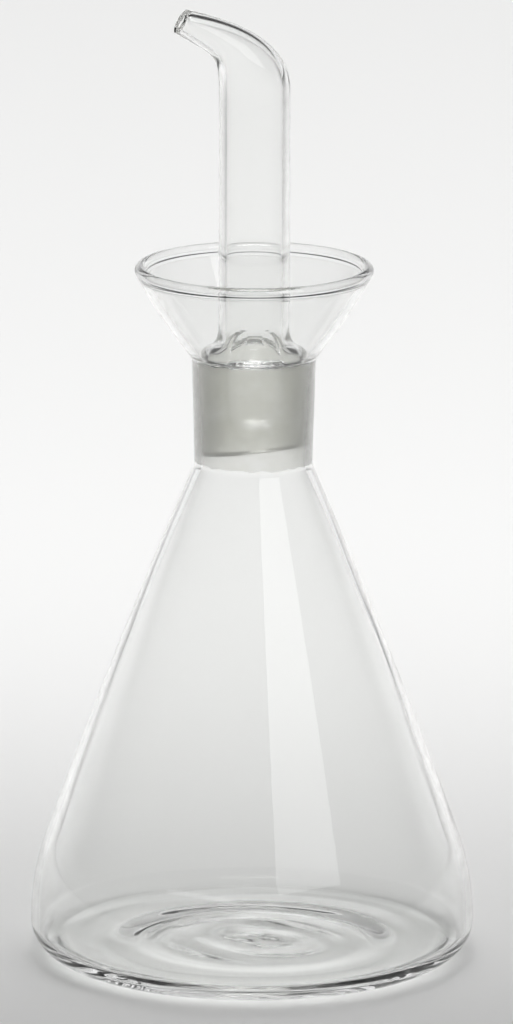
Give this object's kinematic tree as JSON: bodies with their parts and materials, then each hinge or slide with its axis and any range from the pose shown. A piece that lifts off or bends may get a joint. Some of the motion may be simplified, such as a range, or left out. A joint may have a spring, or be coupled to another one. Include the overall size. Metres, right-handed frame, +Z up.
{
  "type": "glass oil cruet",
  "caption": "Conical glass cruet with a funnel mouth and a hollow ground-glass stopper that is drawn out into a bent pouring spout.",
  "frame": {"origin": "centre of the foot, on the flask's axis, in the plane it stands on", "axes": "+Z up along the flask's axis, -X the way the spout points, -Y the side with the stopper's drip dent"},
  "size_m": [0.105, 0.105, 0.2283],
  "materials": {
    "flask_glass": "clear blown glass, fire-polished rim, fine-ground bore in the neck",
    "stopper_glass": "clear drawn glass tube, fine-ground tapered plug"
  },
  "bodies": {
    "root": {"flask": "flask_glass", "pouring_stopper": "stopper_glass"}
  },
  "joints": []
}
